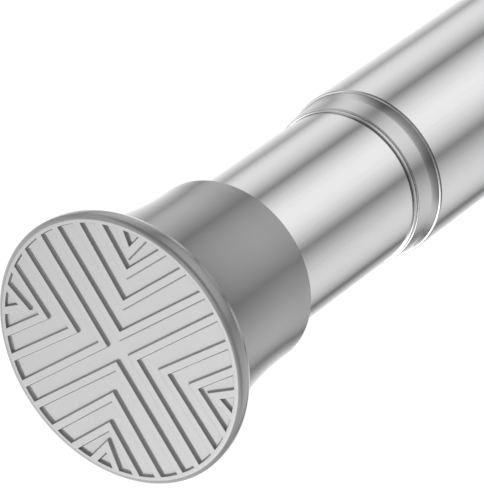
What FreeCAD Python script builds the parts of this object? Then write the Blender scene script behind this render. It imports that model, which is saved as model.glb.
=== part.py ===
import FreeCAD, Part
import math
import os

# Spring tension rod for a curtain: two telescoping steel tubes, a rubber foot on each end, and a screw and
# spring inside. Turning the inner tube screws it out, and the spring then presses both feet on the walls.
# The rod lies along X. X = 0 is the tread of the outer tube's foot, and the inner tube's foot faces +X.
# Sizes are in millimetres.

# Tubes
outer_tube_d = 25.4
tube_step = 1.2  # how far the inner tube's surface lies below the outer tube's
tube_wall = 0.6
outer_tube_length = 330.0
bare_length = 29.2  # inner tube that shows between the collar and its foot

# Rubber feet
foot_d = 38.5
foot_depth = 25.7  # tread to the end of the sleeve
foot_floor = 5.0  # rubber between the tread and the end of the tube
front_round = 0.5  # depth of the rounded front edge
front_shoulder = 0.95  # width of the rounded front edge, across the tread
rim_thickness = 2.85
rim_crown = 0.5  # the rim's radius falls by this much from its front to its back edge
rim_ledge = 1.7  # flat step behind the rim, where the flare starts
sleeve_wall = 2.0
sleeve_straight = 1.9
sleeve_draft = 0.03

# Tread of each foot: chevron ribs in four quarters, flush with a thin ring at the edge
tread_depth = 0.45
tread_ring = 0.25
rib_width = 1.04
tread_turn = 37.5  # degrees from level to the tread's centre line
# For each rib: the distance of its corner from both centre lines, and how far its arms lean in, in degrees
tread_ribs = ((1.12, 0.0), (4.5, 1.9), (7.85, 2.8), (9.94, 13.5))

# Collar at the mouth of the outer tube
collar_length = 5.8
collar_shy = 0.08  # how far the collar's flange stays below the outer tube's surface
collar_flare = 1.5
collar_band_rise = 0.16  # the band grows by this much from the lip to the flare
collar_band_back = 0.37  # depth of the band's thick end below the outer tube's surface
lip_length = 0.7
lip_step = 0.33
lip_round = 0.12
bush_length = 14.0

# Spring cup in the end of the outer tube
plug_flange = 1.5
cup_length = 40.0
cup_web = 10.0
cup_wall = 2.5

# Spindle: keyed tail, shoulder and screw
screw_d = 12.0
shoulder_d = 21.0
shoulder_thickness = 5.0
tail_d = 10.0
tail_flats = 7.5
tail_end = 3.0  # tail behind the clip's groove
clip_groove_d = 8.0
clip_d = 15.0
clip_thickness = 1.2
clip_opening = 100.0  # degrees
washer_thickness = 1.5
spring_washer_d = 20.0
tail_washer_room = 1.05  # between the tail washer and the wall of the cup's chamber

# Tension spring
spring_length = 60.0
spring_mean_d = 15.2
spring_wire_d = 2.0
spring_turns = 9.0

# Drive nut and guide ring
nut_length = 24.0  # inside the inner tube
nut_seat = 2.0
nut_end_flange = 2.0
nut_neck_step = 2.0  # depth of the neck below the inner tube's surface
guide_width = 8.0
guide_split = 1.5
rivet_d = 3.1
rivet_length = 3.0
rivet_inset = 12.0  # from the end of the inner tube

# Travel stop on the free end of the screw
stop_d = 17.0
stop_length = 8.0
end_screw_d = 4.0
end_screw_length = 16.0
end_screw_head_d = 7.5
end_screw_head = 2.2

# Plug in the foot end of the inner tube
end_plug_length = 12.0
end_plug_wall = 1.8

# Travel
retract_travel = 16.0
extend_travel = 120.0

# Clearances, radial for round fits
running_fit = 0.09
seat_fit = 0.05
key_fit = 0.1
stop_gap = 0.4
face_gap = 0.05

# Radii
outer_r = outer_tube_d / 2
outer_bore_r = outer_r - tube_wall
inner_r = outer_r - tube_step
inner_bore_r = inner_r - tube_wall
chamber_r = outer_bore_r - seat_fit - cup_wall
foot_r = foot_d / 2
screw_r = screw_d / 2
tail_r = tail_d / 2
neck_r = inner_r - nut_neck_step
rivet_r = rivet_d / 2
end_screw_r = end_screw_d / 2

# Places along the rod, from the outer foot inwards
outer_tube_x0 = foot_floor + plug_flange
outer_tube_x1 = outer_tube_x0 + outer_tube_length
web_x1 = outer_tube_x0 + cup_length
web_x0 = web_x1 - cup_web
spring_x0 = web_x1 + washer_thickness
spring_x1 = spring_x0 + spring_length
shoulder_x0 = spring_x1 + washer_thickness
shoulder_x1 = shoulder_x0 + shoulder_thickness
nut_x0 = shoulder_x1 + stop_gap + retract_travel
guide_x0 = nut_x0 + nut_end_flange + stop_gap
guide_x1 = guide_x0 + guide_width
nut_seat_x0 = guide_x1 + stop_gap
inner_tube_x0 = nut_seat_x0 + nut_seat
nut_x1 = inner_tube_x0 + nut_length
stop_x0 = nut_x1 + extend_travel + stop_gap
stop_x1 = stop_x0 + stop_length
tail_washer_x1 = web_x0 - face_gap
clip_x1 = tail_washer_x1 - washer_thickness
clip_x0 = clip_x1 - clip_thickness
tail_x0 = clip_x0 - tail_end

# Places along the rod, from the collar to the inner foot
collar_x1 = outer_tube_x1 + collar_length
inner_sleeve_x = collar_x1 + bare_length
inner_face_x = inner_sleeve_x + foot_depth
inner_tube_x1 = inner_face_x - foot_floor - plug_flange

axis_x = FreeCAD.Vector(1, 0, 0)
axis_z = FreeCAD.Vector(0, 0, 1)
origin = FreeCAD.Vector(0, 0, 0)


def rod(x0, x1, radius):
    return Part.makeCylinder(radius, x1 - x0, FreeCAD.Vector(x0, 0, 0), axis_x)


def ring(x0, x1, bore_radius, radius):
    return rod(x0, x1, radius).cut(rod(x0, x1, bore_radius))


def at(x, radius):
    return FreeCAD.Vector(x, 0, radius)


def line(start, end):
    return Part.LineSegment(at(*start), at(*end)).toShape()


def arc(start, middle, end):
    return Part.Arc(at(*start), at(*middle), at(*end)).toShape()


def corner_arc(start, centre, end):
    # Round about a centre, between two points at the same distance from it
    half_x = (start[0] + end[0]) / 2 - centre[0]
    half_r = (start[1] + end[1]) / 2 - centre[1]
    radius = math.hypot(start[0] - centre[0], start[1] - centre[1])
    reach = radius / math.hypot(half_x, half_r)
    return arc(start, (centre[0] + half_x * reach, centre[1] + half_r * reach), end)


def shoulder_arc(face_edge, rim_edge):
    # Quarter of an ellipse from the face, which it leaves level, to the side of the rim
    ellipse = Part.Ellipse(at(*rim_edge), at(*face_edge), at(rim_edge[0], face_edge[1]))
    return Part.ArcOfEllipse(ellipse, 0, math.pi / 2).toShape()


def sweeping_arc(start, end, rise=0.0):
    # Concave arc from start that meets, at end, a line that climbs back from end at the given angle
    across = (math.sin(rise), math.cos(rise))
    back = (start[0] - end[0], start[1] - end[1])
    reach = back[0] * across[0] + back[1] * across[1]
    radius = (back[0] ** 2 + back[1] ** 2) / (2 * reach)
    return corner_arc(start, (end[0] + radius * across[0], end[1] + radius * across[1]), end)


def turned(edges):
    # Solid of revolution about the rod's axis, from a closed outline in the XZ plane
    return Part.Face(Part.Wire(edges)).revolve(origin, axis_x, 360)


def flatted(x0, x1, radius, across_flats):
    # Round bar with two flats, above and below
    width = 2 * radius
    slab = Part.makeBox(x1 - x0, width, across_flats, FreeCAD.Vector(x0, -radius, -across_flats / 2))
    return rod(x0, x1, radius).common(slab)


def tread_rib(corner, lean):
    # One chevron rib in the first quarter, as a prism that runs past the foot's edge
    tilt = math.radians(lean)
    spread = rib_width / math.sin(math.radians(45) - tilt) / math.sqrt(2)
    far = foot_d
    along = (far * math.cos(tilt), far * math.sin(tilt))
    upward = (along[1], along[0])
    outer_corner = corner + spread
    outline = [
        (corner + along[0], corner + along[1]),
        (corner, corner),
        (corner + upward[0], corner + upward[1]),
        (outer_corner + upward[0], outer_corner + upward[1]),
        (outer_corner, outer_corner),
        (outer_corner + along[0], outer_corner + along[1]),
    ]
    points = [FreeCAD.Vector(0, -across, up) for across, up in outline]
    face = Part.Face(Part.makePolygon(points + points[:1]))
    return face.extrude(axis_x * tread_depth)


def tread_pockets():
    # The hollows between the ribs of a foot whose tread faces -X
    ribs = []
    for corner, lean in tread_ribs:
        for quarter in range(4):
            rib = tread_rib(corner, lean)
            rib.rotate(origin, axis_x, 90 * quarter - tread_turn)
            ribs.append(rib)
    return rod(0, tread_depth, foot_r - front_shoulder - tread_ring).cut(ribs)


def foot(tube_radius):
    # Rubber foot with its tread at X = 0, pushed over a tube that comes from +X
    bore_r = tube_radius + seat_fit
    sleeve_r = tube_radius + sleeve_wall
    front = (0, foot_r - front_shoulder)
    rim_front = (front_round, foot_r)
    rim_back = (rim_thickness, foot_r - rim_crown)
    rim_width = rim_thickness - front_round
    crown_r = (rim_width ** 2 + rim_crown ** 2) / (2 * rim_crown)
    flare_top = (rim_thickness, rim_back[1] - rim_ledge)
    flare_end = (foot_depth - sleeve_straight, sleeve_r + sleeve_draft)
    body = turned([
        line((0, 0), front),
        shoulder_arc(front, rim_front),
        corner_arc(rim_front, (front_round, foot_r - crown_r), rim_back),
        line(rim_back, flare_top),
        sweeping_arc(flare_top, flare_end),
        line(flare_end, (foot_depth, sleeve_r)),
        line((foot_depth, sleeve_r), (foot_depth, bore_r)),
        line((foot_depth, bore_r), (foot_floor, bore_r)),
        line((foot_floor, bore_r), (foot_floor, 0)),
        line((foot_floor, 0), (0, 0)),
    ])
    return body.cut(tread_pockets())


def inner_foot():
    piece = foot(inner_r)
    piece.rotate(origin, axis_z, 180)
    piece.translate(axis_x * inner_face_x)
    return piece


def collar():
    # Moulded ring: a bush in the outer tube, a flare from the tube's edge, a tapered band and a thin lip
    mouth = outer_tube_x1
    bore_r = inner_r + running_fit
    bush_r = outer_bore_r - seat_fit
    flange_r = outer_r - collar_shy
    band_thick_r = outer_r - collar_band_back
    band_thin_r = band_thick_r - collar_band_rise
    lip_r = band_thin_r - lip_step
    flare_x = mouth + collar_flare
    lip_x = collar_x1 - lip_length
    band_rise = math.atan2(collar_band_rise, lip_x - flare_x)
    lip_side = (collar_x1 - lip_round, lip_r)
    lip_front = (collar_x1, lip_r - lip_round)
    return turned([
        line((mouth - bush_length, bore_r), (mouth - bush_length, bush_r)),
        line((mouth - bush_length, bush_r), (mouth, bush_r)),
        line((mouth, bush_r), (mouth, flange_r)),
        sweeping_arc((mouth, flange_r), (flare_x, band_thick_r), band_rise),
        line((flare_x, band_thick_r), (lip_x, band_thin_r)),
        line((lip_x, band_thin_r), (lip_x, lip_r)),
        line((lip_x, lip_r), lip_side),
        corner_arc(lip_side, (lip_side[0], lip_front[1]), lip_front),
        line(lip_front, (collar_x1, bore_r)),
        line((collar_x1, bore_r), (mouth - bush_length, bore_r)),
    ])


def spring_cup():
    # Plug in the outer tube, open towards the foot, whose web carries the spring and keys the spindle
    body = rod(foot_floor, outer_tube_x0, outer_r).fuse(rod(outer_tube_x0, web_x1, outer_bore_r - seat_fit))
    body = body.cut(rod(foot_floor, web_x0, chamber_r))
    key_hole = flatted(web_x0, web_x1, tail_r + key_fit, tail_flats + 2 * key_fit)
    return body.cut(key_hole).removeSplitter()


def spindle():
    groove = ring(clip_x0, clip_x1, clip_groove_d / 2, tail_d)
    tail = flatted(tail_x0, shoulder_x0, tail_r, tail_flats).cut(groove)
    shoulder = rod(shoulder_x0, shoulder_x1, shoulder_d / 2)
    screw = rod(shoulder_x1, stop_x0, screw_r)
    pilot = rod(stop_x1 - end_screw_length, stop_x0, end_screw_r + seat_fit)
    return tail.fuse([shoulder, screw]).cut(pilot).removeSplitter()


def retaining_clip():
    # Open ring that springs into the groove of the tail from one side
    body = ring(clip_x0 + face_gap, clip_x1, clip_groove_d / 2 + seat_fit, clip_d / 2)
    mouth = Part.makeCylinder(
        clip_d, clip_thickness, FreeCAD.Vector(clip_x0, 0, 0), axis_x, clip_opening)
    return body.cut(mouth)


def tension_spring():
    # Round wire on a helix, with its last turns ground flat where they bear on the washers
    wire_r = spring_wire_d / 2
    coil_r = spring_mean_d / 2
    pitch = (spring_length - spring_wire_d / 2) / spring_turns
    helix = Part.makeHelix(pitch, pitch * spring_turns, coil_r)
    slope = FreeCAD.Vector(0, 2 * math.pi * coil_r, pitch)
    section = Part.Wire(Part.makeCircle(wire_r, FreeCAD.Vector(coil_r, 0, 0), slope))
    coil = Part.Wire(helix.Edges).makePipeShell([section], True, True)
    coil.rotate(origin, FreeCAD.Vector(0, 1, 0), 90)
    coil.translate(axis_x * (spring_x0 + wire_r / 2))
    return coil.common(rod(spring_x0 + face_gap, spring_x1 - face_gap, spring_mean_d))


def guide_ring():
    # Split ring that snaps over the nut's neck and runs in the outer tube
    body = ring(guide_x0, guide_x1, neck_r + running_fit, outer_bore_r - running_fit)
    split = Part.makeBox(
        guide_width, guide_split, outer_tube_d, FreeCAD.Vector(guide_x0, -guide_split / 2, 0))
    return body.cut(split)


def nut_rivets(radius):
    # Two short rivets through the inner tube's wall, on opposite sides of the nut
    x = inner_tube_x0 + rivet_inset
    top = inner_r - seat_fit
    upper = Part.makeCylinder(radius, rivet_length, FreeCAD.Vector(x, 0, top - rivet_length), axis_z)
    lower = Part.makeCylinder(radius, rivet_length, FreeCAD.Vector(x, 0, -top), axis_z)
    return Part.makeCompound([upper, lower])


def rivet_holes():
    # Holes that run out through the tube's wall, and stop at the foot of each rivet in the nut
    x = inner_tube_x0 + rivet_inset
    foot_z = inner_r - seat_fit - rivet_length
    through = Part.makeCylinder(
        rivet_r + seat_fit, 2 * outer_r, FreeCAD.Vector(x, 0, -outer_r), axis_z)
    keep = Part.makeCylinder(
        rivet_d, 2 * foot_z, FreeCAD.Vector(x, 0, -foot_z), axis_z)
    return through.cut(keep)


def drive_nut():
    # Moulded plug in the end of the inner tube, with a neck for the guide ring
    body = rod(inner_tube_x0, nut_x1, inner_bore_r - seat_fit).fuse([
        rod(nut_seat_x0, inner_tube_x0, inner_r),
        rod(nut_x0 + nut_end_flange, nut_seat_x0, neck_r),
        rod(nut_x0, nut_x0 + nut_end_flange, inner_r),
    ])
    bore = rod(nut_x0, nut_x1, screw_r + running_fit)
    return body.cut([bore, rivet_holes()]).removeSplitter()


def inner_tube():
    return ring(inner_tube_x0, inner_tube_x1, inner_bore_r, inner_r).cut(rivet_holes())


def inner_end_plug():
    # Cap under the inner foot, so that the tube's edge doesn't cut the rubber
    spigot_r = inner_bore_r - seat_fit
    flange = rod(inner_tube_x1, inner_tube_x1 + plug_flange, inner_r)
    spigot = ring(inner_tube_x1 - end_plug_length, inner_tube_x1, spigot_r - end_plug_wall, spigot_r)
    return flange.fuse(spigot).removeSplitter()


def end_screw():
    shank = rod(stop_x1 - end_screw_length, stop_x1, end_screw_r)
    head = rod(stop_x1, stop_x1 + end_screw_head, end_screw_head_d / 2)
    head = head.makeFillet(end_screw_head / 2, [head.Edges[0]])
    return shank.fuse(head).removeSplitter()


pieces = {
    "outer_tube": ring(outer_tube_x0, outer_tube_x1, outer_bore_r, outer_r),
    "outer_foot": foot(outer_r),
    "collar": collar(),
    "spring_cup": spring_cup(),
    "cup_washer": ring(web_x1, spring_x0, tail_r + key_fit, spring_washer_d / 2),
    "spindle": spindle(),
    "spring_washer": ring(spring_x1, shoulder_x0, tail_r + key_fit, spring_washer_d / 2),
    "tension_spring": tension_spring(),
    "tail_washer": ring(clip_x1, tail_washer_x1, tail_r + key_fit, chamber_r - tail_washer_room),
    "retaining_clip": retaining_clip(),
    "end_stop": ring(stop_x0, stop_x1, end_screw_r + seat_fit, stop_d / 2),
    "end_screw": end_screw(),
    "guide_ring": guide_ring(),
    "inner_tube": inner_tube(),
    "inner_foot": inner_foot(),
    "drive_nut": drive_nut(),
    "nut_rivets": nut_rivets(rivet_r),
    "inner_end_plug": inner_end_plug(),
}

os.makedirs("parts", exist_ok=True)
for name, shape in pieces.items():
    shape.exportStep("parts/" + name + ".step")
    print(name, shape.isValid(), len(shape.Solids), round(shape.Volume, 1))
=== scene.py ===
import math

import bmesh
import bpy
from mathutils import Matrix, Vector


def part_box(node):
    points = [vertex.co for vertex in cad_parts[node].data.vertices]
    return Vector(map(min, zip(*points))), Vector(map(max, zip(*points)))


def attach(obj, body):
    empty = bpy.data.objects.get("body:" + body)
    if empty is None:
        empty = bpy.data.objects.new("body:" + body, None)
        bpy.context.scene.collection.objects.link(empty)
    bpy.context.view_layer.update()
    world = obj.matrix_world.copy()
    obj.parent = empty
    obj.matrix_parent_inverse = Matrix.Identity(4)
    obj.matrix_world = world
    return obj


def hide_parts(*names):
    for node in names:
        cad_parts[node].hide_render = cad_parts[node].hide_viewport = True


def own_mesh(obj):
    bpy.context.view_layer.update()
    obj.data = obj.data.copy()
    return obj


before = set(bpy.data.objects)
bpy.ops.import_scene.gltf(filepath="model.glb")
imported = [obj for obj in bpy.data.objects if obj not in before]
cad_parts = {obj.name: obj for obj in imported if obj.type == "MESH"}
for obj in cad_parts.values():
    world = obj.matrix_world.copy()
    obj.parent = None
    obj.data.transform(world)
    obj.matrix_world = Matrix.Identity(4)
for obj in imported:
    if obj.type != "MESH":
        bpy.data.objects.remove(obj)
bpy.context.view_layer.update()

scene = bpy.context.scene
scene.view_settings.view_transform = "Standard"
mm = 0.001  # sizes below are in millimetres, Blender is in metres
onAxis = 1e-9  # a radius below this is a point on the axis
weldDistance = 1e-7  # metres
noiseSpan = (0.3, 0.7)  # most values of a noise texture lie between these


def toLinear(hexCode):
    # sRGB hex to the linear colour that shader sockets take
    parts = [int(hexCode[i:i + 2], 16) / 255 for i in (1, 3, 5)]
    return [p / 12.92 if p <= 0.04045 else ((p + 0.055) / 1.055) ** 2.4 for p in parts] + [1.0]


def addNode(tree, kind, settings=None, inputs=None):
    # one node: its settings, then each input as a value or as the socket that feeds it
    node = tree.nodes.new(kind)
    for name, value in (settings or {}).items():
        setattr(node, name, value)
    for key, value in (inputs or {}).items():
        if isinstance(value, bpy.types.NodeSocket):
            tree.links.new(value, node.inputs[key])
        else:
            node.inputs[key].default_value = value
    return node


# Camera: long lens, looking down the rod from the front of the inner foot
view = {
    "place": (0.76267, 0.25957, 0.25288),
    "target": (0.365741, -0.001377, 0.001411),
    "lens": 293.06,  # on a 36 mm sensor along the longer side of the picture
    "clip": (0.01, 200),
}


def makeCamera():
    data = bpy.data.cameras.new("camera")
    data.lens = view["lens"]
    data.clip_start, data.clip_end = view["clip"]
    camera = bpy.data.objects.new("camera", data)
    scene.collection.objects.link(camera)
    camera.location = view["place"]
    aim = Vector(view["target"]) - Vector(view["place"])
    camera.rotation_euler = aim.to_track_quat("-Z", "Y").to_euler()
    scene.camera = camera


# Studio: even soft light all round, on a white background. The metal mirrors that white as four panels round
# the rod, with dark gaps between them, a dark opening on the camera's side and a bright spot in front of the
# inner foot's tread. Two lamps add diffuse light and aren't mirrored
studio = {
    # middle and half width in degrees about the rod, from +Y towards +Z, then strength at the middle
    "panels": ((53.4, 35.2, 1.04), (120, 32, 0.90), (213, 76, 0.97), (-23.1, 42.7, 0.81)),
    "fall": 0.76,  # share of its strength that a panel loses from the middle to its edge
    "lean": (0.243, 0.234),  # the panels' gaps run together beyond the rod, this far off its axis in Y and Z
    # strength along the rod: (X of the direction, share of the panels' strength)
    "along": ((-1.0, 0.34), (-0.983, 0.48), (-0.959, 0.64), (-0.92, 0.78), (-0.88, 0.88), (-0.82, 1.0)),
    # the same across the dark opening on the camera's side, and the cosines over which that side begins
    "opening": ((-0.66, 1.0), (-0.52, 0.34), (-0.40, 0.20), (-0.28, 0.20), (-0.10, 0.40), (0.10, 0.5),
                (0.25, 0.5), (0.45, 0.22), (0.70, 0.15), (0.85, 0.4), (0.97, 1.1)),
    "openingWay": (0, 0.7206, 0.6934),
    "openingEdge": (-0.15, 0.30),
    # bright spot: its direction, the cosines from its soft edge to its full strength, and that strength
    "frontWay": (0.80, -0.230, -0.554),
    "frontEdge": (0.90, 0.995),
    "front": 3.1,
    "softLight": 0.85,  # what rough surfaces get from all round
    "lamps": (
        {"name": "fill", "place": (0.75, 0.55, -0.45), "aim": (0.37, 0, 0),
         "size": 0.5, "power": 1.2},
        {"name": "faceLamp", "place": (0.81, -0.307, -0.546), "aim": (0.397, 0, 0),
         "size": 0.4, "power": 4.0},
    ),
    "floorDrop": 0.6,  # metres below the rod
    "floorSize": 60.0,
    "floorGlow": 0.94,  # lifts the floor to the white of the background, so that only the shadow shows
    "floorColour": "#616161",
}


def makeStudio():
    world = bpy.data.worlds.new("studio")
    world.use_nodes = True
    scene.world = world
    tree = world.node_tree
    tree.nodes.clear()

    ray = addNode(tree, "ShaderNodeTexCoord").outputs["Generated"]
    split = addNode(tree, "ShaderNodeSeparateXYZ", None, {0: ray}).outputs
    side = addNode(tree, "ShaderNodeMath", {"operation": "ABSOLUTE"}, {0: split["X"]}).outputs[0]
    leanY, leanZ = studio["lean"]
    across = addNode(tree, "ShaderNodeMath", {"operation": "MULTIPLY_ADD"},
                     {0: side, 1: leanY, 2: split["Y"]}).outputs[0]
    upward = addNode(tree, "ShaderNodeMath", {"operation": "MULTIPLY_ADD"},
                     {0: side, 1: leanZ, 2: split["Z"]}).outputs[0]
    angle = addNode(tree, "ShaderNodeMath", {"operation": "ARCTAN2"}, {0: upward, 1: across}).outputs[0]
    light = 0.0
    for middle, halfWidth, strength in studio["panels"]:
        # falls off with the square of the angle from the panel's middle
        turned = addNode(tree, "ShaderNodeMath", {"operation": "SUBTRACT"},
                         {0: angle, 1: math.radians(middle)}).outputs[0]
        off = addNode(tree, "ShaderNodeMath", {"operation": "WRAP"},
                      {0: turned, 1: math.pi, 2: -math.pi}).outputs[0]
        square = addNode(tree, "ShaderNodeMath", {"operation": "MULTIPLY"}, {0: off, 1: off}).outputs[0]
        slope = -strength * studio["fall"] / math.radians(halfWidth) ** 2
        panel = addNode(tree, "ShaderNodeMath", {"operation": "MULTIPLY_ADD"},
                        {0: square, 1: slope, 2: strength}).outputs[0]
        light = addNode(tree, "ShaderNodeMath", {"operation": "MAXIMUM"}, {0: panel, 1: light}).outputs[0]
    masks = {}
    for spot in ("opening", "front"):
        begin, full = studio[spot + "Edge"]
        cosine = addNode(tree, "ShaderNodeVectorMath", {"operation": "DOT_PRODUCT"},
                         {0: ray, 1: studio[spot + "Way"]}).outputs["Value"]
        masks[spot] = addNode(tree, "ShaderNodeMapRange", {"interpolation_type": "SMOOTHSTEP"},
                              {0: cosine, 1: begin, 2: full}).outputs[0]
    place = addNode(tree, "ShaderNodeMapRange", None, {0: split["X"], 1: -1.0, 2: 1.0}).outputs[0]
    for shares, mask in (("along", 1.0), ("opening", masks["opening"])):
        ramp = addNode(tree, "ShaderNodeValToRGB", None, {0: place})
        ramp.color_ramp.interpolation = "EASE"
        stops = ramp.color_ramp.elements
        for i, (x, share) in enumerate(studio[shares]):
            stop = stops[i] if i < 2 else stops.new((x + 1) / 2)
            stop.position = (x + 1) / 2
            stop.color = (share, share, share, 1)
        share = addNode(tree, "ShaderNodeMix", {"data_type": "FLOAT"},
                        {0: mask, 2: 1.0, 3: ramp.outputs[0]}).outputs[0]
        light = addNode(tree, "ShaderNodeMath", {"operation": "MULTIPLY"}, {0: light, 1: share}).outputs[0]
    seen = addNode(tree, "ShaderNodeLightPath").outputs
    mirrored = addNode(tree, "ShaderNodeMath", {"operation": "MAXIMUM"},
                       {0: seen["Is Glossy Ray"], 1: seen["Is Transmission Ray"]}).outputs[0]
    light = addNode(tree, "ShaderNodeMix", {"data_type": "FLOAT"},
                    {0: mirrored, 2: studio["softLight"], 3: light}).outputs[0]
    light = addNode(tree, "ShaderNodeMix", {"data_type": "FLOAT"},
                    {0: masks["front"], 2: light, 3: studio["front"]}).outputs[0]
    light = addNode(tree, "ShaderNodeMix", {"data_type": "FLOAT"},
                    {0: seen["Is Camera Ray"], 2: light, 3: 1.0}).outputs[0]
    white = addNode(tree, "ShaderNodeBackground", None, {"Color": (1, 1, 1, 1), "Strength": light})
    addNode(tree, "ShaderNodeOutputWorld", None, {0: white.outputs[0]})

    for given in studio["lamps"]:
        data = bpy.data.lights.new(given["name"], "AREA")
        data.shape = "DISK"
        data.size = given["size"]
        data.energy = given["power"]
        lamp = bpy.data.objects.new(given["name"], data)
        scene.collection.objects.link(lamp)
        lamp.location = given["place"]
        aim = Vector(given["aim"]) - Vector(given["place"])
        lamp.rotation_euler = aim.to_track_quat("-Z", "Y").to_euler()
        lamp.visible_camera = False
        lamp.visible_glossy = False

    bm = bmesh.new()
    bmesh.ops.create_grid(bm, x_segments=1, y_segments=1, size=studio["floorSize"] / 2)
    mesh = bpy.data.meshes.new("floor")
    bm.to_mesh(mesh)
    bm.free()
    floor = bpy.data.objects.new("floor", mesh)
    scene.collection.objects.link(floor)
    floor.location.z = -studio["floorDrop"]
    paper = bpy.data.materials.new("paleFloor")
    paper.use_nodes = True
    tree = paper.node_tree
    tree.nodes.clear()
    matt = addNode(tree, "ShaderNodeBsdfDiffuse", None, {"Color": toLinear(studio["floorColour"])})
    seen = addNode(tree, "ShaderNodeLightPath").outputs["Is Camera Ray"]
    glow = addNode(tree, "ShaderNodeMath", {"operation": "MULTIPLY"},
                   {0: seen, 1: studio["floorGlow"]}).outputs[0]
    lit = addNode(tree, "ShaderNodeEmission", None, {"Color": (1, 1, 1, 1), "Strength": glow})
    both = addNode(tree, "ShaderNodeAddShader", None, {0: matt.outputs[0], 1: lit.outputs[0]})
    addNode(tree, "ShaderNodeOutputMaterial", None, {0: both.outputs[0]})
    mesh.materials.append(paper)
    # the panels below the rod shine through the floor, so it isn't in the metal's reflections
    floor.visible_diffuse = False
    floor.visible_glossy = False
    floor.visible_shadow = False


def startMaterial(name, settings):
    # material with a Principled shader, and the piece's own coordinates
    material = bpy.data.materials.new(name)
    material.use_nodes = True
    tree = material.node_tree
    tree.nodes.clear()
    shader = addNode(tree, "ShaderNodeBsdfPrincipled", None, settings)
    addNode(tree, "ShaderNodeOutputMaterial", None, {0: shader.outputs[0]})
    place = addNode(tree, "ShaderNodeTexCoord").outputs["Object"]
    return material, tree, shader, place


def mottle(tree, shader, tonePattern, tones, roughPattern, roughs):
    # colour between two tones and roughness between two values, each as its pattern goes
    tone = addNode(tree, "ShaderNodeMix", {"data_type": "RGBA"},
                   {0: tonePattern, 6: toLinear(tones[0]), 7: toLinear(tones[1])}).outputs[2]
    tree.links.new(tone, shader.inputs["Base Color"])
    rough = addNode(tree, "ShaderNodeMapRange", None, {
        0: roughPattern, 1: noiseSpan[0], 2: noiseSpan[1], 3: roughs[0], 4: roughs[1]}).outputs[0]
    tree.links.new(rough, shader.inputs["Roughness"])


def chromedSteel():
    # drawn steel tube, bright chrome plate: mirror streaks along the rod, softened by very fine draw lines
    material, tree, shader, place = startMaterial("chromedSteel", {"Metallic": 1.0})
    drawLine = 0.35 * mm  # real lines are finer, drawn this coarse so that they show
    lineLength = 60 * mm
    stretched = addNode(tree, "ShaderNodeMapping", None,
                        {"Vector": place, "Scale": (1 / lineLength, 1 / drawLine, 1 / drawLine)}).outputs[0]
    lines = addNode(tree, "ShaderNodeTexNoise", None,
                    {"Vector": stretched, "Scale": 1.0, "Detail": 2.0}).outputs["Fac"]
    clouds = addNode(tree, "ShaderNodeTexNoise", None,
                     {"Vector": place, "Scale": 1 / (14 * mm), "Detail": 3.0}).outputs["Fac"]
    mottle(tree, shader, lines, ("#E3E3E3", "#EAEAEA"), clouds, (0.11, 0.14))
    bump = addNode(tree, "ShaderNodeBump", None,
                   {"Strength": 0.02, "Distance": 0.02 * mm, "Height": lines}).outputs[0]
    tree.links.new(bump, shader.inputs["Normal"])
    return material


def silveredPlastic():
    # moulded ring with a metallised skin: bright like the tube, a little softer and darker
    material, tree, shader, place = startMaterial("silveredPlastic", {"Metallic": 1.0})
    clouds = addNode(tree, "ShaderNodeTexNoise", None,
                     {"Vector": place, "Scale": 1 / (3 * mm), "Detail": 3.0}).outputs["Fac"]
    mottle(tree, shader, clouds, ("#D4D4D4", "#DADADA"), clouds, (0.19, 0.24))
    return material


def greyRubber():
    # moulded grey rubber with a satin skin from a polished mould: soft streaks over an even grey
    material, tree, shader, place = startMaterial(
        "greyRubber", {"IOR": 1.8, "Specular IOR Level": 0.75, "Coat Weight": 1.0, "Coat Roughness": 0.08})
    grain = addNode(tree, "ShaderNodeTexNoise", None,
                    {"Vector": place, "Scale": 1 / (0.25 * mm), "Detail": 2.0}).outputs["Fac"]
    clouds = addNode(tree, "ShaderNodeTexNoise", None,
                     {"Vector": place, "Scale": 1 / (6 * mm), "Detail": 3.0}).outputs["Fac"]
    mottle(tree, shader, clouds, ("#747474", "#797979"), grain, (0.11, 0.15))
    bump = addNode(tree, "ShaderNodeBump", None,
                   {"Strength": 0.03, "Distance": 0.01 * mm, "Height": grain}).outputs[0]
    tree.links.new(bump, shader.inputs["Normal"])
    return material


def mouldedNylon():
    # off-white nylon for the screw and the hidden mouldings: waxy, with a faint flow pattern
    material, tree, shader, place = startMaterial("mouldedNylon", {"IOR": 1.53})
    flow = addNode(tree, "ShaderNodeTexNoise", None,
                   {"Vector": place, "Scale": 1 / (5 * mm), "Detail": 4.0, "Distortion": 0.6}).outputs["Fac"]
    mottle(tree, shader, flow, ("#E6E4DC", "#EFEEE8"), flow, (0.42, 0.55))
    return material


def zincPlatedSteel():
    # turned steel with bright zinc plate: cool grey, fine turning lines
    material, tree, shader, place = startMaterial("zincPlatedSteel", {"Metallic": 1.0})
    waveFactor = 20  # the wave texture's own factor on its coordinate, in radians
    turningLine = 0.25 * mm  # one radian of the turning lines
    turning = addNode(tree, "ShaderNodeTexWave", {"wave_type": "BANDS", "bands_direction": "X"}, {
        "Vector": place, "Scale": 1 / (waveFactor * turningLine), "Distortion": 1.5}).outputs["Fac"]
    clouds = addNode(tree, "ShaderNodeTexNoise", None,
                     {"Vector": place, "Scale": 1 / (4 * mm), "Detail": 4.0}).outputs["Fac"]
    mottle(tree, shader, clouds, ("#C3C6CA", "#D3D5D8"), clouds, (0.26, 0.40))
    bump = addNode(tree, "ShaderNodeBump", None,
                   {"Strength": 0.1, "Distance": 0.02 * mm, "Height": turning}).outputs[0]
    tree.links.new(bump, shader.inputs["Normal"])
    return material


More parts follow.
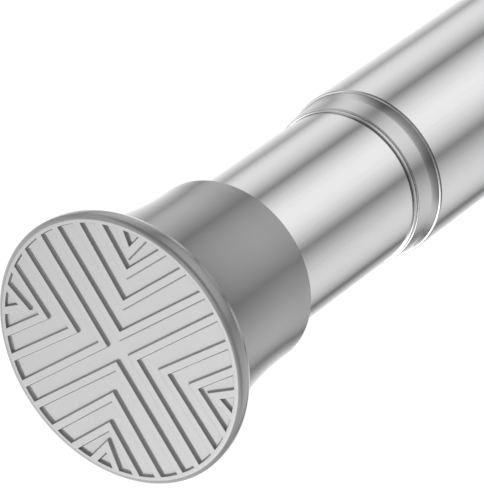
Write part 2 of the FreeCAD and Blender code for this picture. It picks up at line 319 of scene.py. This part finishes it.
def springWire():
    # hard drawn spring wire, oiled: dark grey with lighter rubbed patches
    material, tree, shader, place = startMaterial("springWire", {"Metallic": 1.0})
    rubbed = addNode(tree, "ShaderNodeTexNoise", None,
                     {"Vector": place, "Scale": 1 / (2.5 * mm), "Detail": 4.0}).outputs["Fac"]
    mottle(tree, shader, rubbed, ("#85868A", "#A6A7AA"), rubbed, (0.30, 0.45))
    return material


def roundedOutline(corners, steps=6):
    # (x, radius) outline; a corner with a third number is rounded to that radius
    outline = []
    for i, corner in enumerate(corners):
        here = Vector(corner[:2])
        size = corner[2] if len(corner) > 2 else 0
        if not size:
            outline.append(here)
            continue
        back = (Vector(corners[i - 1][:2]) - here).normalized()
        ahead = (Vector(corners[(i + 1) % len(corners)][:2]) - here).normalized()
        half = back.angle(ahead) / 2
        centre = here + (back + ahead).normalized() * (size / math.sin(half))
        start = here + back * (size / math.tan(half)) - centre
        end = here + ahead * (size / math.tan(half)) - centre
        sweep = math.atan2(start.x * end.y - start.y * end.x, start.dot(end))
        for k in range(steps + 1):
            outline.append(centre + Matrix.Rotation(sweep * k / steps, 2) @ start)
    return outline


def heldOutline(outline, closed, hold=0.08):
    # adds a point near both ends of each long run, so that smooth shading stays on the rounds
    held = []
    ends = outline[1:] + (outline[:1] if closed else [])
    for start, end in zip(outline, ends):
        start, end = Vector(start), Vector(end)
        held.append(start)
        along = end - start
        if along.length > 4 * hold:
            held += [start + along.normalized() * hold, end - along.normalized() * hold]
    return held if closed else held + [Vector(outline[-1])]


def turn(bm, outline, segments, share=1.0, closed=False):
    # turns an outline about the X axis; share is the part of a full turn
    count = segments if share == 1.0 else segments + 1
    rows = []
    for x, radius in heldOutline(outline, closed):
        if abs(radius) < onAxis:
            rows.append([bm.verts.new((x * mm, 0, 0))] * count)
            continue
        row = []
        for k in range(count):
            angle = 2 * math.pi * share * k / segments
            row.append(bm.verts.new((x * mm, radius * math.cos(angle) * mm, radius * math.sin(angle) * mm)))
        rows.append(row)
    pairs = list(zip(rows, rows[1:]))
    if closed:
        pairs.append((rows[-1], rows[0]))
    for one, two in pairs:
        for k in range(segments):
            n = (k + 1) % count
            corners = [one[k], one[n], two[n], two[k]]
            distinct = [v for i, v in enumerate(corners) if v not in corners[:i]]
            if len(distinct) > 2:
                bm.faces.new(distinct)


def slopedLine(start, slopes, steps, way=1):
    # outline from a start along X: slopes in degrees at given distances, changing evenly between them
    line = [Vector(start)]
    for (nearAt, nearSlope), (farAt, farSlope) in zip(slopes, slopes[1:]):
        step = (farAt - nearAt) / steps
        for k in range(steps):
            slope = math.radians(nearSlope + (farSlope - nearSlope) * (k + 0.5) / steps)
            line.append(line[-1] + Vector((way * step, step * math.tan(slope))))
    return line


def meshFrom(bm, name):
    # welded mesh with its faces turned outward
    bmesh.ops.remove_doubles(bm, verts=bm.verts, dist=weldDistance)
    bmesh.ops.recalc_face_normals(bm, faces=bm.faces)
    mesh = bpy.data.meshes.new(name)
    bm.to_mesh(mesh)
    bm.free()
    return mesh


def makePiece(name, mesh, material, body, nodes, crease=32):
    # finished piece at the origin, smooth with its hard edges kept, riding on its body
    mesh.polygons.foreach_set("use_smooth", [True] * len(mesh.polygons))
    mesh.set_sharp_from_angle(angle=math.radians(crease))
    mesh.materials.clear()
    mesh.materials.append(material)
    piece = bpy.data.objects.new(name, mesh)
    scene.collection.objects.link(piece)
    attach(piece, body)
    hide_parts(*nodes)
    return piece


def runNodes(name, mesh, tree, values):
    # runs a Geometry Nodes tree on a mesh, its named inputs set, and gives back a plain mesh
    carrier = bpy.data.objects.new(name + "Carrier", mesh)
    scene.collection.objects.link(carrier)
    modifier = carrier.modifiers.new(name, "NODES")
    modifier.node_group = tree
    sockets = {s.name: s.identifier for s in tree.interface.items_tree if s.in_out == "INPUT"}
    for key, value in values.items():
        modifier[sockets[key]] = value
    graph = bpy.context.evaluated_depsgraph_get()
    result = bpy.data.meshes.new_from_object(carrier.evaluated_get(graph))
    carrier.modifiers.clear()
    bpy.data.objects.remove(carrier)
    result.name = name
    return result


def startTree(name, inputs):
    # Geometry Nodes tree with named inputs, and the sockets that give them
    tree = bpy.data.node_groups.new(name, "GeometryNodeTree")
    tree.interface.new_socket("Geometry", in_out="INPUT", socket_type="NodeSocketGeometry")
    for label, kind in inputs:
        tree.interface.new_socket(label, in_out="INPUT", socket_type=kind)
    tree.interface.new_socket("Geometry", in_out="OUTPUT", socket_type="NodeSocketGeometry")
    return tree, addNode(tree, "NodeGroupInput").outputs


def endTree(tree, geometry, material):
    # plain geometry in its material, as the tree's result
    solid = addNode(tree, "GeometryNodeRealizeInstances", None, {0: geometry}).outputs[0]
    coated = addNode(tree, "GeometryNodeSetMaterial", None,
                     {"Geometry": solid, "Material": material}).outputs[0]
    addNode(tree, "NodeGroupOutput", None, {0: coated})


# Tubes
tubes = {
    "segments": 256,
    "outer": {"from": 6.5, "to": 336.5, "radius": 12.7, "bore": 12.1, "mouthRound": 0.06},
    "inner": {"from": 143.7, "to": 390.7, "radius": 11.5, "bore": 10.9, "mouthRound": 0.15},
    "edgeRound": 0.15,
    "roundSteps": 5,
    "rivetHole": 1.6,
    "rivetPlace": 155.7,
    "rivetSegments": 48,
}


def makeTube(name, size):
    bm = bmesh.new()
    soft = tubes["edgeRound"]
    turn(bm, roundedOutline([
        (size["from"], size["radius"], soft), (size["to"], size["radius"], size["mouthRound"]),
        (size["to"], size["bore"], soft), (size["from"], size["bore"], soft)], tubes["roundSteps"]),
        tubes["segments"], closed=True)
    return meshFrom(bm, name)


def drillRivets(mesh):
    # one cutter through both walls of the inner tube, where the nut's rivets sit
    bm = bmesh.new()
    across = Matrix.Translation((tubes["rivetPlace"] * mm, 0, 0))
    radius, length = tubes["rivetHole"] * mm, 3 * tubes["inner"]["radius"] * mm
    bmesh.ops.create_cone(bm, cap_ends=True, segments=tubes["rivetSegments"], radius1=radius, radius2=radius,
                          depth=length, matrix=across)
    cutter = bpy.data.objects.new("rivetCutter", meshFrom(bm, "rivetCutter"))
    drilled = bpy.data.objects.new("drilled", mesh)
    for part in (cutter, drilled):
        scene.collection.objects.link(part)
    cut = drilled.modifiers.new("holes", "BOOLEAN")
    cut.operation = "DIFFERENCE"
    cut.solver = "EXACT"
    cut.object = cutter
    graph = bpy.context.evaluated_depsgraph_get()
    result = bpy.data.meshes.new_from_object(drilled.evaluated_get(graph))
    drilled.modifiers.clear()
    for part in (cutter, drilled):
        bpy.data.objects.remove(part)
    return result


# Feet: each is one quarter with its share of the tread, repeated four times about the axis
foot = {
    "depth": 25.7,
    "floor": 5.0,  # rubber in front of the tube's end
    "plate": 18.45,  # flat of the tread, out to its shoulder
    # distance out from the flat, then slope in degrees
    "shoulder": ((0.0, 0.0), (0.06, 2.0), (0.14, 12.0), (0.28, 21.0), (0.42, 30.0), (0.55, 39.0),
                 (0.75, 57.0)),
    # depth behind the tread, then slope in degrees
    "rim": ((0.43, 3.0), (1.0, -3.0), (1.4, -9.0), (1.95, -16.0), (2.1, -27.0), (3.15, -27.0)),
    "rimRound": 0.05,
    "flareRadius": 17.05,  # where the flare starts, behind the rim
    "sleeveWall": 2.0,
    "sleeveStraight": 1.9,
    "sleeveDraft": 0.03,
    "sleeveRound": 0.3,
    "tubeFit": 0.05,
    "quarters": 4,
    "weld": 0.001,
    "segments": 320,
    "rimSteps": 5,
    "roundSteps": 5,
    "flareSteps": 36,
    "turn": 37.5,  # degrees from level to the tread's centre line
}
tread = {
    "radius": 18.05,  # outer edge of the hollows
    "ribWidth": 1.04,
    # each chevron rib: how far its corner is from both centre lines, and how its arms lean in, in degrees
    "ribs": ((1.12, 0.0), (4.5, 1.9), (7.85, 2.8), (9.94, 13.5)),
    "arcStep": 3.0,  # degrees
    # section of a hollow's edge: (how far in from the outline, how deep)
    "section": ((-0.10, 0), (-0.06, 0), (-0.035, 0.006), (-0.012, 0.026), (0, 0.06), (0.015, 0.23),
                (0.04, 0.315), (0.085, 0.375), (0.13, 0.415), (0.15, 0.429), (0.17, 0.437), (0.195, 0.443),
                (0.21, 0.445), (0.24, 0.445), (0.28, 0.445)),
}


def treadOutlines():
    # hollows of one quarter, each run so that the hollow is on its left; the first is the open cross channel
    edge = tread["radius"]

    def armEnds(corner, lean):
        # where the two arms of a chevron reach the edge circle
        ends = []
        start = Vector((corner, corner))
        for way in ((math.cos(lean), math.sin(lean)), (math.sin(lean), math.cos(lean))):
            way = Vector(way)
            along = start.dot(way)
            ends.append(start + way * (math.sqrt(along ** 2 + edge ** 2 - start.length_squared) - along))
        return ends

    def arc(start, end):
        # points on the edge circle after start, up to end
        a, b = math.atan2(start.y, start.x), math.atan2(end.y, end.x)
        steps = max(1, round(abs(b - a) / math.radians(tread["arcStep"])))
        angles = [a + (b - a) * k / steps for k in range(1, steps + 1)]
        return [Vector((edge * math.cos(angle), edge * math.sin(angle))) for angle in angles]

    outlines = []
    before = None
    for corner, leanDegrees in tread["ribs"]:
        lean = math.radians(leanDegrees)
        inner = Vector((corner, corner))
        low, high = armEnds(corner, lean)
        if before is None:
            right, top = Vector((edge, 0)), Vector((0, edge))
            outlines.append([right] + arc(right, low) + [inner, high] + arc(high, top))
        else:
            outerCorner, outerLow, outerHigh = before
            outlines.append([outerCorner, outerLow] + arc(outerLow, low) + [inner, high] + arc(high, outerHigh))
        # corner of the rib's other side
        spread = corner + tread["ribWidth"] / math.sin(math.radians(45) - lean) / math.sqrt(2)
        before = (Vector((spread, spread)), *armEnds(spread, lean))
    outlines.append([before[0], before[1]] + arc(before[1], before[2]))
    return outlines


def insetLine(points, inset, closed):
    # mitred copy of an outline, moved to its left; an open one is mirrored at the quarter's seams
    moved = []
    last = len(points) - 1
    for i, here in enumerate(points):
        back, ahead = points[i - 1], points[(i + 1) % len(points)]
        if not closed and i == 0:
            back = Vector((points[1].x, -points[1].y))
        if not closed and i == last:
            ahead = Vector((-points[-2].x, points[-2].y))
        one, two = (here - back).normalized(), (ahead - here).normalized()
        left, right = Vector((-one.y, one.x)), Vector((-two.y, two.x))
        moved.append(here + (left + right) * (inset / (1 + left.dot(right))))
    return moved


def footQuarter(tubeRadius):
    # built with the tread at x = 0 and the sleeve towards +X, y and z from 0 up
    bm = bmesh.new()
    plateEdges = []

    def row(points, depth):
        return [bm.verts.new((depth * mm, p.x * mm, p.y * mm)) for p in points]

    floorDepth = tread["section"][-1][1]
    for i, outline in enumerate(treadOutlines()):
        closed = i > 0
        rows = [row(insetLine(outline, inset, closed), depth) for inset, depth in tread["section"]]
        count = len(outline) if closed else len(outline) - 1
        for one, two in zip(rows, rows[1:]):
            for k in range(count):
                n = (k + 1) % len(outline)
                bm.faces.new((one[k], one[n], two[n], two[k]))
        for k in range(count):
            plateEdges.append(bm.edges.get((rows[0][k], rows[0][(k + 1) % len(outline)])))
        if closed:
            bm.faces.new(rows[-1])
        else:
            bm.faces.new(rows[-1] + [bm.verts.new((floorDepth * mm, 0, 0))])
            channelTop = rows[0]
    # flat of the tread: the face between the hollows and the shoulder
    quarter = foot["segments"] // foot["quarters"]
    plate = foot["plate"]
    angles = [math.pi / 2 * k / quarter for k in range(quarter + 1)]
    edge = row([Vector((plate * math.cos(angle), plate * math.sin(angle))) for angle in angles], 0)
    for one, two in list(zip(edge, edge[1:])) + [(edge[0], channelTop[0]), (edge[-1], channelTop[-1])]:
        plateEdges.append(bm.edges.new((one, two)))
    bmesh.ops.triangle_fill(bm, use_beauty=True, edges=plateEdges)

    # outline from the flat over shoulder, rim, flare and sleeve to the socket's floor
    depth = foot["depth"]
    sleeve, bore = tubeRadius + foot["sleeveWall"], tubeRadius + foot["tubeFit"]
    flareTop = Vector((foot["rim"][-1][0], foot["flareRadius"]))
    flareEnd = Vector((depth - foot["sleeveStraight"], sleeve + foot["sleeveDraft"]))
    run, drop = flareEnd.x - flareTop.x, flareTop.y - flareEnd.y
    bend = (run ** 2 + drop ** 2) / (2 * drop)  # radius of the flare, level where it meets the sleeve
    opening = math.asin(run / bend)
    flare = []
    for k in range(foot["flareSteps"] + 1):
        angle = opening * (1 - k / foot["flareSteps"])
        flare.append((flareEnd.x - bend * math.sin(angle), flareEnd.y + bend * (1 - math.cos(angle))))
    shoulder = slopedLine((0, 0), foot["shoulder"], foot["rimSteps"])
    front = [Vector((spot.y, plate + spot.x)) for spot in shoulder]
    crown = slopedLine(front[-1], foot["rim"], foot["rimSteps"])
    front += crown[1:-1] + roundedOutline([crown[-2], (*crown[-1], foot["rimRound"]), flare[0]])[1:-1]
    back = roundedOutline([
        flare[-1], (depth, sleeve, foot["sleeveRound"]), (depth, bore, foot["sleeveRound"]),
        (foot["floor"], bore), (foot["floor"], 0)], foot["roundSteps"])[1:]
    turn(bm, front + flare + back, quarter, share=1 / foot["quarters"])
    bmesh.ops.triangulate(bm, faces=[f for f in bm.faces if len(f.verts) > 4])
    return meshFrom(bm, "footQuarter")


def makeFoot(name, tubeRadius, material):
    tree, given = startTree("aroundTheAxis", (("Count", "NodeSocketInt"), ("Weld", "NodeSocketFloat")))
    spots = addNode(tree, "GeometryNodeMeshLine", {"mode": "OFFSET"},
                    {"Count": given["Count"], "Offset": (0, 0, 0)}).outputs[0]
    number = addNode(tree, "GeometryNodeInputIndex").outputs[0]
    step = addNode(tree, "ShaderNodeMath", {"operation": "DIVIDE"},
                   {0: 2 * math.pi, 1: given["Count"]}).outputs[0]
    angle = addNode(tree, "ShaderNodeMath", {"operation": "MULTIPLY"}, {0: number, 1: step}).outputs[0]
    way = addNode(tree, "ShaderNodeCombineXYZ", None, {"X": angle}).outputs[0]
    spin = addNode(tree, "FunctionNodeEulerToRotation", None, {0: way}).outputs[0]
    placed = addNode(tree, "GeometryNodeInstanceOnPoints", None,
                     {"Points": spots, "Instance": given["Geometry"], "Rotation": spin}).outputs[0]
    solid = addNode(tree, "GeometryNodeRealizeInstances", None, {0: placed}).outputs[0]
    welded = addNode(tree, "GeometryNodeMergeByDistance", None,
                     {"Geometry": solid, "Distance": given["Weld"]}).outputs[0]
    endTree(tree, welded, material)
    return runNodes(name, footQuarter(tubeRadius), tree, {"Count": foot["quarters"], "Weld": foot["weld"] * mm})


# Collar: a short flare up to the outer tube's mouth, a tapered band and a thin lip on the inner tube
collar = {
    "mouth": 336.5,
    "length": 5.57,
    "bush": 14.0,
    "bore": 11.59,
    "lipBore": 11.53,  # the lip's edge closes on the inner tube
    "bushRadius": 12.05,
    # from the band to the mouth, distance and slope in degrees: hollow flare, steep edge, small chamfer
    "flare": ((0.0, 2.0), (0.25, 8.0), (1.0, 11.0), (1.72, 13.0), (1.74, 85.0), (1.753, 85.0), (1.77, 18.0),
              (2.0, 18.0)),
    "flareSteps": 6,
    "roundSteps": 5,
    "bandThick": 12.12,
    "bandThin": 11.95,
    "bandRound": 0.1,
    "lipRadius": 11.76,
    "lip": 0.6,
    "lipRound": 0.06,
    "edgeRound": 0.08,
    "segments": 256,
}


def makeCollar():
    mouth, soft = collar["mouth"], collar["edgeRound"]
    end = mouth + collar["length"]
    lipStart = end - collar["lip"]
    flareStart = (mouth + collar["flare"][-1][0], collar["bandThick"])
    flare = slopedLine(flareStart, collar["flare"], collar["flareSteps"], -1)
    outline = roundedOutline([
        (mouth - collar["bush"], collar["bore"], soft), (mouth - collar["bush"], collar["bushRadius"], soft),
        (mouth, collar["bushRadius"]), *[tuple(spot) for spot in reversed(flare)],
        (lipStart, collar["bandThin"], collar["bandRound"]), (lipStart, collar["lipRadius"], soft / 2),
        (end, collar["lipRadius"], collar["lipRound"]), (end, collar["lipBore"]),
        (lipStart, collar["bore"])], collar["roundSteps"])
    bm = bmesh.new()
    turn(bm, outline, collar["segments"], closed=True)
    return meshFrom(bm, "collarRing")


# Spindle: keyed tail with two flats, shoulder, and a coarse screw for the nut
spindle = {
    # each from, to and radius
    "tail": (30.75, 109.5, 5.0),
    "groove": (33.75, 34.95, 4.0),
    "shoulder": (109.5, 114.5, 10.5),
    "flats": 7.5,  # across the tail
    "screwEnd": 288.1,
    "core": 4.9,
    "pilot": (280.1, 2.05),  # bottom and radius of the end screw's hole
    "edgeRound": 0.3,
    "roundSteps": 4,
    "segments": 96,
    "slack": 0.01,
    "pointsPerTurn": 40,
    "lead": 6.0,
    "threadFrom": 117.0,
    "threadTo": 286.0,
    "crest": 6.0,
    "crestWidth": 1.5,
    "rootWidth": 3.1,
}


def spindleBar():
    tailStart, tailEnd, tailRadius = spindle["tail"]
    grooveStart, grooveEnd, grooveRadius = spindle["groove"]
    shoulderStart, shoulderEnd, shoulderRadius = spindle["shoulder"]
    end, core, soft = spindle["screwEnd"], spindle["core"], spindle["edgeRound"]
    pilotDepth, pilotRadius = spindle["pilot"]
    bm = bmesh.new()
    turn(bm, roundedOutline([
        (tailStart, 0), (tailStart, tailRadius, soft), (grooveStart, tailRadius), (grooveStart, grooveRadius),
        (grooveEnd, grooveRadius), (grooveEnd, tailRadius), (tailEnd, tailRadius),
        (shoulderStart, shoulderRadius, soft), (shoulderEnd, shoulderRadius, soft), (shoulderEnd, core),
        (end, core, soft), (end, pilotRadius), (pilotDepth, pilotRadius), (pilotDepth, 0)],
        spindle["roundSteps"]), spindle["segments"])
    # the tail's flats key it in the spring cup
    half, slack = spindle["flats"] / 2 * mm, spindle["slack"]
    for vert in bm.verts:
        if vert.co.x < (tailEnd + slack) * mm and vert.co.yz.length < (tailRadius + slack) * mm:
            vert.co.z = max(-half, min(half, vert.co.z))
    return meshFrom(bm, "spindleBar")


def makeSpindle(material):
    tree, given = startTree("screwThread", (
        ("Turns", "NodeSocketFloat"), ("Length", "NodeSocketFloat"), ("Core", "NodeSocketFloat"),
        ("Height", "NodeSocketFloat"), ("Root Width", "NodeSocketFloat"), ("Crest Width", "NodeSocketFloat"),
        ("Start", "NodeSocketVector")))
    path = addNode(tree, "GeometryNodeCurveSpiral", None, {
        "Resolution": spindle["pointsPerTurn"], "Rotations": given["Turns"], "Start Radius": given["Core"],
        "End Radius": given["Core"], "Height": given["Length"]}).outputs[0]
    upright = addNode(tree, "GeometryNodeSetCurveNormal", {"mode": "Z_UP"}, {"Curve": path}).outputs[0]
    ridge = addNode(tree, "GeometryNodeCurvePrimitiveQuadrilateral", {"mode": "TRAPEZOID"}, {
        "Height": given["Height"], "Bottom Width": given["Root Width"], "Top Width": given["Crest Width"],
        "Offset": 0.0}).outputs[0]
    swept = addNode(tree, "GeometryNodeCurveToMesh", None,
                    {"Curve": upright, "Profile Curve": ridge, "Fill Caps": True}).outputs[0]
    lying = addNode(tree, "GeometryNodeTransform", None, {
        "Geometry": swept, "Translation": given["Start"], "Rotation": (0, math.pi / 2, 0)}).outputs[0]
    joined = addNode(tree, "GeometryNodeJoinGeometry")
    tree.links.new(lying, joined.inputs[0])
    tree.links.new(given["Geometry"], joined.inputs[0])
    endTree(tree, joined.outputs[0], material)
    length = spindle["threadTo"] - spindle["threadFrom"]
    return runNodes("spindleScrew", spindleBar(), tree, {
        "Turns": length / spindle["lead"], "Length": length * mm, "Core": spindle["core"] * mm,
        "Height": 2 * (spindle["crest"] - spindle["core"]) * mm, "Root Width": spindle["rootWidth"] * mm,
        "Crest Width": spindle["crestWidth"] * mm, "Start": (spindle["threadFrom"] * mm, 0, 0)})


# Tension spring: round wire, one closed turn at each end, ground flat where it bears on the washers
spring = {
    "from": 48.05,
    "to": 107.95,
    "coil": 7.6,  # radius of the wire's middle
    "wire": 1.0,
    "turns": 10.0,
    "closedPitch": 2.05,
    "ground": 0.45,  # how much of the wire's radius is ground off at each end
    "pointsPerTurn": 40,
    "wireSides": 20,
    "crease": 50,
    "squashKeep": 0.8,  # share of its length that is left at the end of its travel
}


def makeSpring(material):
    tree, given = startTree("coilSpring", (
        ("Points Per Turn", "NodeSocketInt"), ("Turns", "NodeSocketFloat"), ("Last Turn", "NodeSocketFloat"),
        ("Coil Radius", "NodeSocketFloat"), ("Wire Radius", "NodeSocketFloat"), ("From", "NodeSocketFloat"),
        ("To", "NodeSocketFloat"), ("First Wire", "NodeSocketVector"), ("Closed Pitch", "NodeSocketFloat"),
        ("Open Length", "NodeSocketFloat")))
    rings = addNode(tree, "GeometryNodeCurveSpiral", None, {
        "Resolution": given["Points Per Turn"], "Rotations": given["Turns"],
        "Start Radius": given["Coil Radius"], "End Radius": given["Coil Radius"], "Height": 0.0}).outputs[0]
    # climb along the axis: a closed turn, the open turns and a closed turn
    share = addNode(tree, "GeometryNodeSplineParameter").outputs["Factor"]
    turned = addNode(tree, "ShaderNodeMath", {"operation": "MULTIPLY"},
                     {0: share, 1: given["Turns"]}).outputs[0]
    first = addNode(tree, "ShaderNodeMapRange", None,
                    {0: turned, 1: 0.0, 2: 1.0, 4: given["Closed Pitch"]}).outputs[0]
    middle = addNode(tree, "ShaderNodeMapRange", None,
                     {0: turned, 1: 1.0, 2: given["Last Turn"], 4: given["Open Length"]}).outputs[0]
    last = addNode(tree, "ShaderNodeMapRange", None,
                   {0: turned, 1: given["Last Turn"], 2: given["Turns"], 4: given["Closed Pitch"]}).outputs[0]
    rises = addNode(tree, "ShaderNodeCombineXYZ", None, {"X": first, "Y": middle, "Z": last}).outputs[0]
    climb = addNode(tree, "ShaderNodeVectorMath", {"operation": "DOT_PRODUCT"},
                    {0: rises, 1: (1, 1, 1)}).outputs["Value"]
    spot = addNode(tree, "GeometryNodeInputPosition").outputs[0]
    around = addNode(tree, "ShaderNodeSeparateXYZ", None, {0: spot}).outputs
    place = addNode(tree, "ShaderNodeCombineXYZ", None,
                    {"X": climb, "Y": around["X"], "Z": around["Y"]}).outputs[0]
    coil = addNode(tree, "GeometryNodeSetPosition", None,
                   {"Geometry": rings, "Position": place, "Offset": given["First Wire"]}).outputs[0]
    section = addNode(tree, "GeometryNodeCurvePrimitiveCircle", {"mode": "RADIUS"},
                      {"Resolution": spring["wireSides"], "Radius": given["Wire Radius"]}).outputs[0]
    swept = addNode(tree, "GeometryNodeCurveToMesh", None,
                    {"Curve": coil, "Profile Curve": section, "Fill Caps": True}).outputs[0]
    # grinding: what stands past either end is pressed flat
    skin = addNode(tree, "ShaderNodeSeparateXYZ", None, {0: spot}).outputs
    flat = addNode(tree, "ShaderNodeClamp", None, {0: skin["X"], 1: given["From"], 2: given["To"]}).outputs[0]
    kept = addNode(tree, "ShaderNodeCombineXYZ", None, {"X": flat, "Y": skin["Y"], "Z": skin["Z"]}).outputs[0]
    ground = addNode(tree, "GeometryNodeSetPosition", None, {"Geometry": swept, "Position": kept}).outputs[0]
    endTree(tree, ground, material)
    inset = spring["wire"] - spring["ground"]
    span = spring["to"] - spring["from"] - 2 * inset
    return runNodes("tensionSpring", bpy.data.meshes.new("springStart"), tree, {
        "Points Per Turn": spring["pointsPerTurn"], "Turns": spring["turns"],
        "Last Turn": spring["turns"] - 1, "Coil Radius": spring["coil"] * mm,
        "Wire Radius": spring["wire"] * mm, "From": spring["from"] * mm, "To": spring["to"] * mm,
        "First Wire": ((spring["from"] + inset) * mm, 0, 0), "Closed Pitch": spring["closedPitch"] * mm,
        "Open Length": (span - 2 * spring["closedPitch"]) * mm})


makeCamera()
makeStudio()
print("camera and studio made")

chrome = chromedSteel()
silver = silveredPlastic()
rubber = greyRubber()
nylon = mouldedNylon()
zinc = zincPlatedSteel()
wire = springWire()
print("materials made")

outerTubeMesh = makeTube("outerTube", tubes["outer"])
makePiece("outerTube", outerTubeMesh, chrome, "outer_tube", ["outer_tube"])
innerTubeMesh = drillRivets(makeTube("innerTube", tubes["inner"]))
makePiece("innerTube", innerTubeMesh, chrome, "inner_tube", ["inner_tube"])
print("tubes made")

outerFootMesh = makeFoot("outerFoot", tubes["outer"]["radius"], rubber)
outerFootMesh.transform(Matrix.Rotation(-math.radians(foot["turn"]), 4, "X"))
makePiece("outerFoot", outerFootMesh, rubber, "outer_tube", ["outer_foot"])
innerFootMesh = makeFoot("innerFoot", tubes["inner"]["radius"], rubber)
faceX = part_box("inner_foot")[1][0]
turned = Matrix.Rotation(math.radians(foot["turn"]), 4, "X") @ Matrix.Rotation(math.pi, 4, "Z")
innerFootMesh.transform(Matrix.Translation((faceX, 0, 0)) @ turned)
makePiece("innerFoot", innerFootMesh, rubber, "inner_tube", ["inner_foot"])
print("feet made")

makePiece("collarRing", makeCollar(), silver, "outer_tube", ["collar"])
print("collar made")

makePiece("spindleScrew", makeSpindle(nylon), nylon, "spindle", ["spindle"])
springPiece = makePiece(
    "tensionSpring", makeSpring(wire), wire, "outer_tube", ["tension_spring"], spring["crease"])
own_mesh(springPiece)
print("screw and spring made")

hiddenPieces = (
    (nylon, ("spring_cup", "drive_nut", "guide_ring", "end_stop", "inner_end_plug")),
    (zinc, ("cup_washer", "spring_washer", "tail_washer", "retaining_clip", "end_screw", "nut_rivets")),
)
for coat, nodeNames in hiddenPieces:
    for nodeName in nodeNames:
        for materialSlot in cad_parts[nodeName].material_slots:
            materialSlot.material = coat
print("hidden pieces coated")
